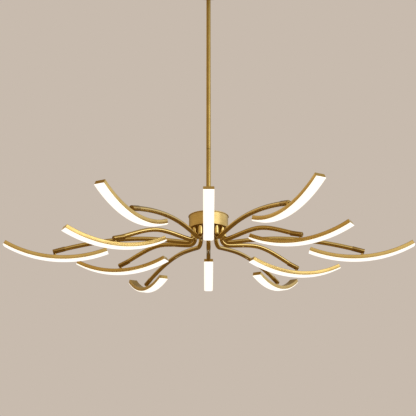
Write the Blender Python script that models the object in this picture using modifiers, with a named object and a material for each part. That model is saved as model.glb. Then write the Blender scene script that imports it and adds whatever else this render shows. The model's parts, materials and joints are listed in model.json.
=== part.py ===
"""Branch chandelier for a ceiling: a rod and a drum hub carry twelve bent tube arms,
and every arm holds one curved light bar that swivels on an upright stem.

Metres, +Z up. The origin is on the ceiling, at the middle of the fixing bracket, and the
lamp hangs below it. The arms are numbered round the hub, from -Y towards +X.
"""

import math

import bmesh
import bpy
from mathutils import Matrix, Vector

# ---------------------------------------------------------------- driving dimensions
GAP = 0.0003  # clearance between parts that touch
ROUND_STEPS = 48  # facets round a cup
TUBE_STEPS = 20
SMALL_STEPS = 12
DROP = 0.920  # ceiling down to the level at which the long arms end
ARM_LEVEL = -DROP

# ceiling fixing
CANOPY_R = 0.075
CANOPY_DEPTH = 0.035
CANOPY_WALL = 0.0012
CANOPY_EDGE = 0.002
BRACKET_HALF = 0.062
BRACKET_WIDTH = 0.024
BRACKET_SHEET = 0.002
BRACKET_LEG = 0.020
SLOT_PLACE = 0.030
SLOT_LENGTH = 0.014
SLOT_WIDTH = 0.005
SCREW_LEVEL = -0.012
SCREW_R = 0.002
SCREW_HOLE_R = 0.0023
SCREW_HEAD_R = 0.0045
SCREW_HEAD = 0.004
SCREW_LENGTH = 0.018
DRIVER_SIZE = (0.090, 0.040, 0.022)
DRIVER_Y = 0.035
DRIVER_EDGE = 0.0015

# hanging rod, in two lengths
ROD_R = 0.007
ROD_BORE_R = 0.005
THREAD_R = 0.0048
THREAD_BORE_R = 0.0034
THREAD_SEAT = 0.006  # how far the narrow bore runs on into the rod
THREAD_ABOVE = 0.013  # over the canopy's floor
THREAD_BELOW = 0.0035  # under the base plate
ROD_SEAM = ARM_LEVEL + 0.321
JOINER_R = 0.0047
JOINER_BORE_R = 0.0036
JOINER_HALF = 0.012
NUT_R = 0.008
NUT_HEIGHT = 0.005
CAP_NUT_BORE = 0.0045
CAP_NUT_SIDE = 0.004
CAP_NUT_TAPER = 0.0065
CAP_NUT_HEIGHT = 0.0075
CAP_NUT_TIP_R = 0.006

# hub
HUB_R = 0.060
HUB_RIM = 0.0018  # how far the lid stands out round the wall
HUB_LID = 0.0026
HUB_WALL = 0.0015
HUB_TOP = ARM_LEVEL + 0.106
HUB_BOTTOM = ARM_LEVEL + 0.066
HUB_EDGE = 0.001
BASE_RECESS = 0.002
BASE_THICK = 0.0025
ARM_RING_R = 0.046
ARM_HOLE_R = 0.0071

# arms: a stub down out of the hub, a bend outwards, a long low crest, a falling end
ARM_R = 0.0065
ARM_SIDES = 2  # bevel resolution, eight sides
STUB_ABOVE = 0.008
BEND_R = 0.018
BEND_LOW = 0.026
RISE_SLOPE = 0.12
SHORT = {"reach": 0.301, "crest_at": 0.160, "crest": 0.039, "end": -0.006, "fall": 0.32}
LONG = {"reach": 0.450, "crest_at": 0.200, "crest": 0.0375, "end": 0.0, "fall": 0.27}
SLEEVE_R = 0.0072
SLEEVE_BORE_R = 0.0057
SLEEVE_BACK = 0.029
SLEEVE_FRONT = 0.007
SLEEVE_BORE_BACK = 0.009
TUBE_STOP = 0.003  # from the end of the tube to the floor of the sleeve's bore
SLEEVE_SIDES = 14
STEM_HOLE_R = 0.0032

# stem, from the sleeve's underside down to the light bar
STEM_R = 0.0025
STEM_SHOWS = 0.0065
STEM_HEAD_R = 0.0034
STEM_HEAD_LOW = 0.004
STEM_HEAD_TOP = 0.006
FOOT_R = 0.009
FOOT_HEIGHT = 0.002

# light bar: arcs about one centre above the bar, a channel with closed ends over a lens
BAR_TOP_R = 0.340
BAR_HALF_ANGLE = math.radians(25.8)
BAR_WIDTH = 0.028
CHANNEL_DEPTH = 0.0115
CHANNEL_WALL = 0.0012
BAR_DEPTH = 0.0152
END_CAP = 0.0015
LENS_PLUG = 0.005
BAR_STEPS = 11  # odd, so that a flat facet lies under the stem's foot

# How each arm was set when the lamp was hung: its place round the hub and its turn about
# its own stub in degrees, its lift at the end in millimetres, and the turn and upward tilt
# of its light bar in degrees.
ARMS = (
    (0, SHORT, 0, 6, 0, 7),
    (30, LONG, -4.5, 8, 2, 4),
    (60, SHORT, -4, 5, 4, -1),
    (90, LONG, -1, -3, -3, 3),
    (120, SHORT, -5, -10, -1, 2),
    (150, LONG, -0.5, 4, 1.5, 8),
    (180, SHORT, 0, -1, 0, -2),
    (210, LONG, -3, 0, -3, 10),
    (240, SHORT, 4, -1, 3, 3.5),
    (270, LONG, 0, -2, 1, 4),
    (300, SHORT, 1, -2, -1, -2.5),
    (330, LONG, 5.5, -6, -3, 2.5),
)


# ---------------------------------------------------------------- scene and materials
def clear_scene():
    for item in list(bpy.data.objects):
        bpy.data.objects.remove(item, do_unlink=True)


def new_collection(name):
    group = bpy.data.collections.new(name)
    bpy.context.scene.collection.children.link(group)
    return group


def finish(name, colour, metallic, roughness):
    material = bpy.data.materials.new(name)
    material.use_nodes = True
    shader = material.node_tree.nodes["Principled BSDF"]
    shader.inputs["Base Color"].default_value = (*colour, 1.0)
    shader.inputs["Metallic"].default_value = metallic
    shader.inputs["Roughness"].default_value = roughness
    material.diffuse_color = (*colour, 1.0)
    return material


clear_scene()
LAMP = new_collection("branch_chandelier")
CUTTERS = new_collection("cutters")


# ---------------------------------------------------------------- modelling helpers
def place(name, mesh, material, matrix=None):
    """Adds one named part that shows a mesh."""
    item = bpy.data.objects.new(name, mesh)
    if not mesh.materials:
        mesh.materials.append(material)
    LAMP.objects.link(item)
    if matrix is not None:
        item.matrix_world = matrix
    return item


def smooth(mesh, degrees=35):
    mesh.shade_smooth()
    mesh.set_sharp_from_angle(angle=math.radians(degrees))


def as_mesh(item, name):
    """Turns an object with its modifiers into a plain closed mesh, and removes the object."""
    bpy.context.view_layer.update()
    evaluated = item.evaluated_get(bpy.context.evaluated_depsgraph_get())
    mesh = bpy.data.meshes.new_from_object(evaluated)
    mesh.name = name
    mesh.transform(item.matrix_world)
    work = bmesh.new()
    work.from_mesh(mesh)
    bmesh.ops.remove_doubles(work, verts=work.verts, dist=0.00001)
    bmesh.ops.recalc_face_normals(work, faces=work.faces)
    work.to_mesh(mesh)
    work.free()
    bpy.data.objects.remove(item, do_unlink=True)
    return mesh


def loose_object(name, data):
    item = bpy.data.objects.new(name, data)
    CUTTERS.objects.link(item)
    return item


def turned(name, profile, steps, closed=True):
    """A mesh turned about Z. The profile gives (radius, height), down the outer side."""
    mesh = bpy.data.meshes.new(name)
    points = [(radius, 0.0, height) for radius, height in profile]
    edges = [(i, i + 1) for i in range(len(points) - 1)]
    if closed:
        edges.append((len(points) - 1, 0))
    mesh.from_pydata(points, edges, [])
    item = loose_object(name, mesh)
    screw = item.modifiers.new("turn", "SCREW")
    screw.axis = "Z"
    screw.steps = steps
    screw.render_steps = steps
    screw.use_merge_vertices = True
    screw.merge_threshold = 0.00005
    result = as_mesh(item, name)
    smooth(result)
    return result


def curve_object(name, points, dimensions, cyclic=False):
    curve = bpy.data.curves.new(name, "CURVE")
    curve.dimensions = dimensions
    spline = curve.splines.new("POLY")
    spline.points.add(len(points) - 1)
    for target, point in zip(spline.points, points):
        target.co = (*point, 1.0)
    spline.use_cyclic_u = cyclic
    return loose_object(name, curve)


def tube(name, route, radius):
    """A round bar along a route."""
    item = curve_object(name, route, "3D")
    item.data.bevel_depth = radius
    item.data.bevel_resolution = ARM_SIDES
    item.data.use_fill_caps = True
    return as_mesh(item, name)


def upright_plate(name, outline, width):
    """A flat outline of (x, z) points, given a width along Y."""
    item = curve_object(name, [(x, z, 0.0) for x, z in outline], "2D", cyclic=True)
    item.data.fill_mode = "BOTH"
    item.data.extrude = width / 2
    item.matrix_world = Matrix.Rotation(math.radians(90), 4, "X")
    return as_mesh(item, name)


def cylinder(name, radius, low, high, sides=SMALL_STEPS):
    """A round mesh along Z from one height to another."""
    mesh = bpy.data.meshes.new(name)
    work = bmesh.new()
    bmesh.ops.create_cone(
        work, cap_ends=True, segments=sides, radius1=radius, radius2=radius, depth=high - low
    )
    bmesh.ops.translate(work, verts=work.verts, vec=(0, 0, (low + high) / 2))
    work.to_mesh(mesh)
    work.free()
    return mesh


def box(name, size):
    mesh = bpy.data.meshes.new(name)
    work = bmesh.new()
    bmesh.ops.create_cube(work, size=1.0)
    bmesh.ops.scale(work, verts=work.verts, vec=size)
    work.to_mesh(mesh)
    work.free()
    return mesh


def combine(name, base, steps):
    """Applies Boolean steps, each an operation and a mesh, to a base mesh."""
    item = loose_object(name, base)
    tools = []
    for operation, mesh in steps:
        tool = loose_object(name + "_tool", mesh)
        tools.append(tool)
        modifier = item.modifiers.new(operation.lower(), "BOOLEAN")
        modifier.operation = operation
        modifier.solver = "EXACT"
        modifier.object = tool
    result = as_mesh(item, name)
    for tool in tools:
        bpy.data.objects.remove(tool, do_unlink=True)
    smooth(result)
    return result


def cutter(name, mesh, matrix=None):
    """A cutting body that stays in the file, hidden from renders."""
    item = loose_object(name, mesh)
    item.hide_render = True
    item.display_type = "WIRE"
    if matrix is not None:
        item.matrix_world = matrix
    return item


def cut(item, tool):
    modifier = item.modifiers.new("cut", "BOOLEAN")
    modifier.operation = "DIFFERENCE"
    modifier.solver = "EXACT"
    modifier.object = tool


def heading(degrees):
    """Turns +X to an arm's direction, counted from -Y towards +X."""
    return Matrix.Rotation(math.radians(degrees - 90), 4, "Z")


def tilted(degrees):
    """Lifts the +X side about the Y axis."""
    return Matrix.Rotation(-math.radians(degrees), 4, "Y")


# ---------------------------------------------------------------- materials
BRASS = finish("satin_brass", (0.66, 0.46, 0.17), 1.0, 0.34)
DARK_BRASS = finish("sleeve_brass", (0.50, 0.34, 0.12), 1.0, 0.38)
LENS = finish("opal_lens", (0.95, 0.95, 0.93), 0.0, 0.45)
STEEL = finish("zinc_steel", (0.55, 0.56, 0.57), 1.0, 0.42)
CASE = finish("driver_case", (0.82, 0.82, 0.80), 0.0, 0.55)


# ---------------------------------------------------------------- ceiling fixing
def across(name, radius, half):
    """A cutter along X at the canopy screws' level."""
    matrix = Matrix.Translation((0, 0, SCREW_LEVEL)) @ Matrix.Rotation(math.radians(90), 4, "Y")
    return cutter(name, cylinder(name, radius, -half, half), matrix)


def make_bracket():
    outer = BRACKET_HALF
    inner = BRACKET_HALF - BRACKET_SHEET
    outline = [
        (-outer, 0), (outer, 0), (outer, -BRACKET_LEG), (inner, -BRACKET_LEG),
        (inner, -BRACKET_SHEET), (-inner, -BRACKET_SHEET), (-inner, -BRACKET_LEG),
        (-outer, -BRACKET_LEG),
    ]
    bracket = place("ceiling_bracket", upright_plate("ceiling_bracket", outline, BRACKET_WIDTH), STEEL)
    for side in (-1, 1):
        slot = cutter(
            f"bracket_slot_{side:+d}",
            box("bracket_slot", (SLOT_LENGTH, SLOT_WIDTH, 4 * BRACKET_SHEET)),
            Matrix.Translation((side * SLOT_PLACE, 0, 0)),
        )
        cut(bracket, slot)
    cut(bracket, across("bracket_screw_holes", SCREW_HOLE_R, 2 * BRACKET_HALF))


def make_canopy():
    floor = -CANOPY_DEPTH
    hole = THREAD_R + 2 * GAP
    inner = CANOPY_R - CANOPY_WALL
    profile = [
        (CANOPY_R, -2 * GAP), (CANOPY_R, floor + CANOPY_EDGE), (CANOPY_R - CANOPY_EDGE, floor),
        (hole, floor), (hole, floor + CANOPY_WALL),
        (inner - CANOPY_EDGE, floor + CANOPY_WALL), (inner, floor + CANOPY_WALL + CANOPY_EDGE),
        (inner, -2 * GAP),
    ]
    canopy = place("canopy_cup", turned("canopy_cup", profile, ROUND_STEPS), BRASS)
    cut(canopy, across("canopy_screw_holes", SCREW_HOLE_R, 2 * CANOPY_R))
    screw = turned("canopy_screw", [
        (0, SCREW_HEAD), (SCREW_HEAD_R, SCREW_HEAD), (SCREW_HEAD_R, 0), (SCREW_R, 0),
        (SCREW_R, -SCREW_LENGTH), (0, -SCREW_LENGTH),
    ], SMALL_STEPS, closed=False)
    for name, side in (("canopy_screw_left", -1), ("canopy_screw_right", 1)):
        head_face = Matrix.Translation((side * (CANOPY_R + GAP), 0, SCREW_LEVEL))
        place(name, screw, BRASS, head_face @ Matrix.Rotation(math.radians(90 * side), 4, "Y"))
    nut_low = floor + CANOPY_WALL + GAP
    bore = (THREAD_R + GAP) / math.cos(math.radians(30))
    nut = turned("canopy_nut", [
        (bore, nut_low + NUT_HEIGHT), (NUT_R, nut_low + NUT_HEIGHT), (NUT_R, nut_low),
        (bore, nut_low),
    ], 6)
    place("canopy_nut", nut, STEEL)


def make_driver():
    low = -CANOPY_DEPTH + CANOPY_WALL + GAP
    driver = place(
        "led_driver", box("led_driver", DRIVER_SIZE), CASE,
        Matrix.Translation((0, DRIVER_Y, low + DRIVER_SIZE[2] / 2)),
    )
    edges = driver.modifiers.new("edges", "BEVEL")
    edges.width = DRIVER_EDGE
    edges.segments = 1


# ---------------------------------------------------------------- rod
def make_rods():
    shoulder = -CANOPY_DEPTH - GAP
    thread_top = -CANOPY_DEPTH + THREAD_ABOVE
    upper = [
        (THREAD_BORE_R, thread_top), (THREAD_R, thread_top), (THREAD_R, shoulder),
        (ROD_R, shoulder), (ROD_R, ROD_SEAM + GAP), (ROD_BORE_R, ROD_SEAM + GAP),
        (ROD_BORE_R, shoulder - THREAD_SEAT), (THREAD_BORE_R, shoulder - THREAD_SEAT),
    ]
    place("rod_upper", turned("rod_upper", upper, TUBE_STEPS), BRASS)

    seat = HUB_TOP + GAP
    thread_end = HUB_BOTTOM + BASE_RECESS - THREAD_BELOW
    lower = [
        (ROD_BORE_R, ROD_SEAM), (ROD_R, ROD_SEAM), (ROD_R, seat), (THREAD_R, seat),
        (THREAD_R, thread_end), (THREAD_BORE_R, thread_end),
        (THREAD_BORE_R, seat + THREAD_SEAT), (ROD_BORE_R, seat + THREAD_SEAT),
    ]
    place("rod_lower", turned("rod_lower", lower, TUBE_STEPS), BRASS)

    joiner = [
        (JOINER_BORE_R, ROD_SEAM + JOINER_HALF), (JOINER_R, ROD_SEAM + JOINER_HALF),
        (JOINER_R, ROD_SEAM - JOINER_HALF), (JOINER_BORE_R, ROD_SEAM - JOINER_HALF),
    ]
    place("rod_joiner", turned("rod_joiner", joiner, TUBE_STEPS), STEEL)


# ---------------------------------------------------------------- hub
def make_hub():
    outer = HUB_R - HUB_RIM
    inner = outer - HUB_WALL
    hole = THREAD_R + 2 * GAP
    under_lid = HUB_TOP - HUB_LID
    cup = [
        (hole, HUB_TOP), (HUB_R - HUB_EDGE, HUB_TOP), (HUB_R, HUB_TOP - HUB_EDGE),
        (HUB_R, under_lid), (outer, under_lid), (outer, HUB_BOTTOM), (inner, HUB_BOTTOM),
        (inner, under_lid), (hole, under_lid),
    ]
    place("hub_cup", turned("hub_cup", cup, ROUND_STEPS), BRASS)

    base_low = HUB_BOTTOM + BASE_RECESS
    base_top = base_low + BASE_THICK
    base = [
        (hole, base_top), (inner - GAP, base_top), (inner - GAP, base_low), (hole, base_low),
    ]
    plate = place("hub_base_plate", turned("hub_base_plate", base, ROUND_STEPS), BRASS)
    holes = bpy.data.meshes.new("arm_holes")
    work = bmesh.new()
    for settings in ARMS:
        spot = heading(settings[0]) @ Vector((ARM_RING_R, 0, base_low))
        bmesh.ops.create_cone(
            work, cap_ends=True, segments=SMALL_STEPS, radius1=ARM_HOLE_R, radius2=ARM_HOLE_R,
            depth=6 * BASE_THICK, matrix=Matrix.Translation(spot),
        )
    work.to_mesh(holes)
    work.free()
    cut(plate, cutter("arm_holes", holes))

    nut_top = base_low - GAP
    nut = [
        (0, nut_top - CAP_NUT_BORE), (THREAD_R + GAP, nut_top - CAP_NUT_BORE),
        (THREAD_R + GAP, nut_top), (NUT_R, nut_top), (NUT_R, nut_top - CAP_NUT_SIDE),
        (CAP_NUT_TIP_R, nut_top - CAP_NUT_TAPER), (0, nut_top - CAP_NUT_HEIGHT),
    ]
    place("hub_cap_nut", turned("hub_cap_nut", nut, TUBE_STEPS, closed=False), BRASS)


# ---------------------------------------------------------------- arms
def smooth_run(start, end, start_slope, end_slope, steps):
    """Points after the start of a curve between two (x, z) points with given slopes."""
    span = end[0] - start[0]
    points = []
    for i in range(1, steps + 1):
        t = i / steps
        z = (
            (2 * t**3 - 3 * t**2 + 1) * start[1] + (t**3 - 2 * t**2 + t) * span * start_slope
            + (3 * t**2 - 2 * t**3) * end[1] + (t**3 - t**2) * span * end_slope
        )
        points.append((start[0] + span * t, z))
    return points


def arm_route(kind):
    """The arm's centre line as (x, z), with x from the hub's axis and z from the arm level."""
    top = HUB_BOTTOM - ARM_LEVEL + BASE_RECESS + BASE_THICK + STUB_ABOVE
    centre = (ARM_RING_R + BEND_R, BEND_LOW + BEND_R)
    bend_end = math.pi / 2 + math.atan(RISE_SLOPE)
    route = [(ARM_RING_R, top)]
    for i in range(5):
        angle = bend_end * i / 4
        route.append((centre[0] - BEND_R * math.cos(angle), centre[1] - BEND_R * math.sin(angle)))
    crest = (kind["crest_at"], kind["crest"])
    end = (kind["reach"], kind["end"])
    route += smooth_run(route[-1], crest, RISE_SLOPE, 0.0, 4)
    route += smooth_run(crest, end, 0.0, -kind["fall"], 7)
    return route


def sleeve_frame(kind):
    """The sleeve's frame: origin at the arm's end, +Z along the tube towards the open end."""
    slope = math.atan(kind["fall"])
    return Matrix.Translation((kind["reach"], 0, kind["end"])) @ Matrix.Rotation(
        math.radians(90) + slope, 4, "Y"
    )


def stem_point(kind):
    """Where the stem leaves the sleeve, under the arm's end, in the arm's own frame."""
    below = SLEEVE_R / math.cos(math.atan(kind["fall"]))
    return Vector((kind["reach"], 0, kind["end"] - below))


def make_arm_mesh(name, kind):
    """One arm in its own frame: x from the hub's axis, z from the arm level."""
    route = arm_route(kind)
    last = Vector((route[-1][0], 0, route[-1][1]))
    before = Vector((route[-2][0], 0, route[-2][1]))
    inside = last + (before - last).normalized() * (SLEEVE_BORE_BACK + TUBE_STOP)
    line = [(x, 0.0, z) for x, z in route[:-1]] + [tuple(inside)]
    frame = sleeve_frame(kind)
    sleeve = cylinder("sleeve", SLEEVE_R, -SLEEVE_BACK, SLEEVE_FRONT, SLEEVE_SIDES)
    sleeve.transform(frame)
    bore = cylinder("bore", SLEEVE_BORE_R, -SLEEVE_BORE_BACK, 2 * SLEEVE_FRONT)
    bore.transform(frame)
    hole = cylinder("stem_hole", STEM_HOLE_R, -SLEEVE_R / 2, SLEEVE_R)
    hole.transform(Matrix.Translation(stem_point(kind)))
    return combine(name, tube(name, line, ARM_R), [
        ("UNION", sleeve), ("DIFFERENCE", bore), ("DIFFERENCE", hole),
    ])


def arm_matrix(settings):
    """Places an arm: round the hub, turned about its stub, lifted about the base plate."""
    angle, kind, turn, lift, _, _ = settings
    pivot = Vector((ARM_RING_R, 0, HUB_BOTTOM - ARM_LEVEL + BASE_RECESS))
    lift_angle = math.degrees(lift / 1000 / (kind["reach"] - ARM_RING_R))
    about_stub = (
        Matrix.Translation(pivot) @ Matrix.Rotation(math.radians(turn), 4, "Z")
        @ tilted(lift_angle) @ Matrix.Translation(-pivot)
    )
    return Matrix.Translation((0, 0, ARM_LEVEL)) @ heading(angle) @ about_stub


# ---------------------------------------------------------------- light bars
def arc_block(name, inner_r, outer_r, half_angle, width):
    """A bar bent to an arc. Its frame is the stem's: z = 0 at the sleeve's underside."""
    centre = BAR_TOP_R - STEM_SHOWS
    outline = []
    for radius, sign in ((inner_r, 1), (outer_r, -1)):
        for i in range(BAR_STEPS + 1):
            angle = sign * half_angle * (2 * i / BAR_STEPS - 1)
            outline.append((radius * math.sin(angle), centre - radius * math.cos(angle)))
    return upright_plate(name, outline, width)


CAP_ANGLE = END_CAP / BAR_TOP_R
GAP_ANGLE = GAP / BAR_TOP_R
CHANNEL_MOUTH = BAR_TOP_R + CHANNEL_DEPTH
BAR_UNDERSIDE = BAR_TOP_R + BAR_DEPTH


def make_channel_mesh():
    """A U channel, open below, with closed ends."""
    solid = arc_block("solid", BAR_TOP_R, CHANNEL_MOUTH, BAR_HALF_ANGLE, BAR_WIDTH)
    hollow = arc_block(
        "hollow", BAR_TOP_R + CHANNEL_WALL, CHANNEL_MOUTH + BAR_DEPTH,
        BAR_HALF_ANGLE - CAP_ANGLE, BAR_WIDTH - 2 * CHANNEL_WALL,
    )
    return combine("bar_channel", solid, [("DIFFERENCE", hollow)])


def make_lens_mesh():
    """A strip as large as the channel's mouth, with a plug that sits inside it."""
    inside = BAR_HALF_ANGLE - CAP_ANGLE - GAP_ANGLE
    strip = arc_block("strip", CHANNEL_MOUTH + GAP, BAR_UNDERSIDE, BAR_HALF_ANGLE, BAR_WIDTH)
    plug = arc_block(
        "plug", CHANNEL_MOUTH - LENS_PLUG, (CHANNEL_MOUTH + BAR_UNDERSIDE) / 2,
        inside - CAP_ANGLE, BAR_WIDTH - 2 * CHANNEL_WALL - 2 * GAP,
    )
    return combine("bar_lens", strip, [("UNION", plug)])


def make_stem_mesh():
    facet_rise = BAR_TOP_R * (1 - math.cos(BAR_HALF_ANGLE / BAR_STEPS))
    foot_low = -STEM_SHOWS + facet_rise + GAP
    foot_top = foot_low + FOOT_HEIGHT
    return turned("bar_stem", [
        (0, STEM_HEAD_TOP), (STEM_HEAD_R, STEM_HEAD_TOP), (STEM_HEAD_R, STEM_HEAD_LOW),
        (STEM_R, STEM_HEAD_LOW), (STEM_R, foot_top), (FOOT_R, foot_top), (FOOT_R, foot_low),
        (0, foot_low),
    ], SMALL_STEPS, closed=False)


def bar_matrix(settings, arm_place):
    """Places a light bar and its stem under the end of its arm."""
    angle, kind, turn, _, bar_turn, bar_tilt = settings
    spot = arm_place @ stem_point(kind)
    return Matrix.Translation(spot) @ heading(angle + turn + bar_turn) @ tilted(bar_tilt)


def make_arms():
    arm_meshes = {
        "short": make_arm_mesh("short_arm", SHORT),
        "long": make_arm_mesh("long_arm", LONG),
    }
    stem = make_stem_mesh()
    channel = make_channel_mesh()
    lens = make_lens_mesh()
    for number, settings in enumerate(ARMS, start=1):
        mesh = arm_meshes["short" if settings[1] is SHORT else "long"]
        arm_place = arm_matrix(settings)
        place(f"arm_{number:02d}", mesh, BRASS, arm_place)
        bar_place = bar_matrix(settings, arm_place)
        place(f"bar_stem_{number:02d}", stem, DARK_BRASS, bar_place)
        place(f"bar_channel_{number:02d}", channel, BRASS, bar_place)
        place(f"bar_lens_{number:02d}", lens, LENS, bar_place)


make_bracket()
make_canopy()
make_driver()
make_rods()
make_hub()
make_arms()
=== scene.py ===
"""Looks of the multi arm chandelier: turned brass, bent brass arms and lit, curved light bars,
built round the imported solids. Metres, +Z up, the ceiling at z = 0."""

import json
import math

import bmesh
import bpy
from mathutils import Matrix, Vector


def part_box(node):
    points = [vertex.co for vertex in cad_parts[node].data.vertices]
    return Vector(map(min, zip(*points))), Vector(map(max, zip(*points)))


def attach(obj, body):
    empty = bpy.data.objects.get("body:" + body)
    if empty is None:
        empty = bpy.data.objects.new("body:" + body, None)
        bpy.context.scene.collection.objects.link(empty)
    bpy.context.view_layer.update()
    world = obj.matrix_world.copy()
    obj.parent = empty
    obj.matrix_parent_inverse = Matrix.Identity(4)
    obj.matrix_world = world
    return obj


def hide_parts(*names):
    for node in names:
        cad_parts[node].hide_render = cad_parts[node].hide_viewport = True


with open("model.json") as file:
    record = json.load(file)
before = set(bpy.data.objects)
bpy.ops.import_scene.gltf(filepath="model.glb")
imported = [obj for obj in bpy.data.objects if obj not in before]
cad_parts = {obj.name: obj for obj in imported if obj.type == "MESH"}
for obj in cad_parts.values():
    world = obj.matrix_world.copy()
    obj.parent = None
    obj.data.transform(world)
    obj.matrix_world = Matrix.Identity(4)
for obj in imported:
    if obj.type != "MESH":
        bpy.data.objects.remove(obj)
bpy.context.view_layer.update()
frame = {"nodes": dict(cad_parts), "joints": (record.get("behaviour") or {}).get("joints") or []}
NODES = frame["nodes"]
JOINTS = {joint["name"]: joint for joint in frame["joints"]}
FIXED = "fixed_frame"
NUMBERS = [f"{number:02d}" for number in range(1, 13)]


def node_box(node):
    low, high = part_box(node)
    return Vector(low), Vector(high)


def mm(value):
    return value / 1000


# ---------------------------------------------------------------- sizes, from the solids
CANOPY_LOW, CANOPY_HIGH = node_box("canopy_cup")
HUB_LOW, HUB_HIGH = node_box("hub_cup")
PLATE_LOW, PLATE_HIGH = node_box("hub_base_plate")
CAP_LOW, CAP_HIGH = node_box("hub_cap_nut")
UPPER_LOW, UPPER_HIGH = node_box("rod_upper")
LOWER_LOW, LOWER_HIGH = node_box("rod_lower")
DRIVER_LOW, DRIVER_HIGH = node_box("led_driver")

GAP = mm(0.3)  # between solids that meet
CLOSE_GAP = mm(0.1)  # between pieces that look joined
CANOPY_WALL = mm(1.2)
CANOPY_BEND = mm(12)
COLLAR_R = mm(12)
SCREW_HEAD_R = mm(4.5)
SCREW_HEAD_HIGH = mm(4)
SCREW_SHANK_R = mm(2)
LID_INSET = mm(2.5)
LEAD_R = mm(0.9)
TERMINAL_PITCH = mm(11)

BAR_WIDTH = mm(28)
BAR_TOP_R = mm(340)
BAR_HALF_ANGLE = math.radians(25.8)
STEM_SHOWS = mm(6.5)
CHANNEL_DEPTH = mm(11.5)
CHANNEL_WALL = mm(1.2)
BAR_DEPTH = mm(15.2)
CAP_ANGLE = mm(1.5) / BAR_TOP_R
BAR_STEPS = 56
CAP_INSET = mm(0.35)
LENS_PLUG_TOP = mm(6)
BOARD_HALF = mm(9)
BOARD_THICK = mm(1.4)
BOARD_STEPS = 28
CHIP_COUNT = 30
CHIP_HALF = mm(1.5)
CHIP_HIGH = mm(0.7)

ROD_R = mm(7)
ROD_BORE_R = mm(5)
THREAD_R = mm(4.8)
THREAD_BORE_R = mm(3.4)
THREAD_HOLE_R = mm(5.4)

HUB_RIM = mm(1.8)
HUB_WALL = mm(1.5)
HUB_LID = mm(2.6)
HUB_SIDES = 128
STUB_HOLE_R = mm(7)
STUB_HOLE_SIDES = 28
LOCKNUT_R = mm(9)
LOCKNUT_FLATS_FROM = mm(7.5)
LOCKNUT_HIGH = mm(3.5)

ARM_R = mm(6.5)
ARM_RING_R = mm(46)
ARM_SIDES = 24
BEND_R = mm(18)
BEND_LOW = mm(26)
RISE_SLOPE = 0.12
BASE_ABOVE_ARMS = mm(68)
ARM_LEVEL = PLATE_LOW.z - BASE_ABOVE_ARMS
SHORT = {"reach": mm(301), "crest_at": mm(160), "crest": mm(39), "end": mm(-6), "fall": 0.32}
LONG = {"reach": mm(450), "crest_at": mm(200), "crest": mm(37.5), "end": 0.0, "fall": 0.27}
SLEEVE_R = mm(7.2)
SLEEVE_BORE_R = mm(5.7)
SLEEVE_BACK = mm(-29)
SLEEVE_FRONT = mm(7)
SLEEVE_FLOOR = mm(-9)
STEM_R = mm(2.5)
STEM_HOLE_R = mm(3.1)
FOOT_R = mm(9)

TURNED_SIDES = 96
COLLAR_SIDES = 64
ROD_SIDES = 48
SLEEVE_SIDES = 40
NUT_SIDES = 36
SMALL_SIDES = 32
TINY_SIDES = 24
KNURL_SIDES = 72
KNURL_DEPTH = mm(0.25)
SHARP_ANGLE = math.radians(32)


# ---------------------------------------------------------------- node helpers
def add(tree, kind, values=None, **settings):
    """Adds a node. Values go by input name, as a number, a colour or a socket to join."""
    node = tree.nodes.new(kind)
    for key, value in settings.items():
        setattr(node, key, value)
    for key, value in (values or {}).items():
        socket = node.inputs[key]
        if isinstance(value, bpy.types.NodeSocket):
            tree.links.new(value, socket)
        else:
            socket.default_value = value
    return node


def new_group(name, takes, gives):
    """An empty node group with named sockets, as (tree, its inputs, its output node)."""
    tree = bpy.data.node_groups.new(name, "ShaderNodeTree")
    for label, kind, start in takes:
        socket = tree.interface.new_socket(label, in_out="INPUT", socket_type=kind)
        if start is not None:
            socket.default_value = start
    for label, kind in gives:
        tree.interface.new_socket(label, in_out="OUTPUT", socket_type=kind)
    inputs = tree.nodes.new("NodeGroupInput").outputs
    outputs = tree.nodes.new("NodeGroupOutput").inputs
    return tree, inputs, outputs


NUMBER = "NodeSocketFloat"
COLOUR = "NodeSocketColor"
VECTOR = "NodeSocketVector"


def brush_lines_group():
    """Fine lines left by a brushing belt: they run along Y of the vector and vary along X."""
    tree, take, give = new_group(
        "brush_lines",
        [("Vector", VECTOR, None), ("Lines per metre", NUMBER, 3000.0),
         ("Runs per metre", NUMBER, 30.0), ("Seed", NUMBER, 0.0)],
        [("Lines", NUMBER), ("Height", NUMBER)],
    )
    parts = add(tree, "ShaderNodeSeparateXYZ", {"Vector": take["Vector"]})
    across = add(tree, "ShaderNodeMath", {0: parts.outputs["X"], 1: take["Lines per metre"]},
                 operation="MULTIPLY")
    along = add(tree, "ShaderNodeMath", {0: parts.outputs["Y"], 1: take["Runs per metre"]},
                operation="MULTIPLY")
    place = add(tree, "ShaderNodeCombineXYZ", {
        "X": across.outputs[0], "Y": along.outputs[0], "Z": take["Seed"],
    })
    fine = add(tree, "ShaderNodeTexNoise", {
        "Vector": place.outputs[0], "Scale": 1.0, "Detail": 4.0, "Roughness": 0.6,
    })
    coarse = add(tree, "ShaderNodeTexNoise", {
        "Vector": place.outputs[0], "Scale": 0.22, "Detail": 2.0, "Roughness": 0.5,
    })
    both = add(tree, "ShaderNodeMix", {0: 0.4, 2: fine.outputs["Fac"], 3: coarse.outputs["Fac"]},
               data_type="FLOAT")
    lines = add(tree, "ShaderNodeMapRange", {
        "Value": both.outputs[0], "From Min": 0.32, "From Max": 0.68,
    })
    tree.links.new(lines.outputs[0], give["Lines"])
    tree.links.new(both.outputs[0], give["Height"])
    return tree


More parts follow.
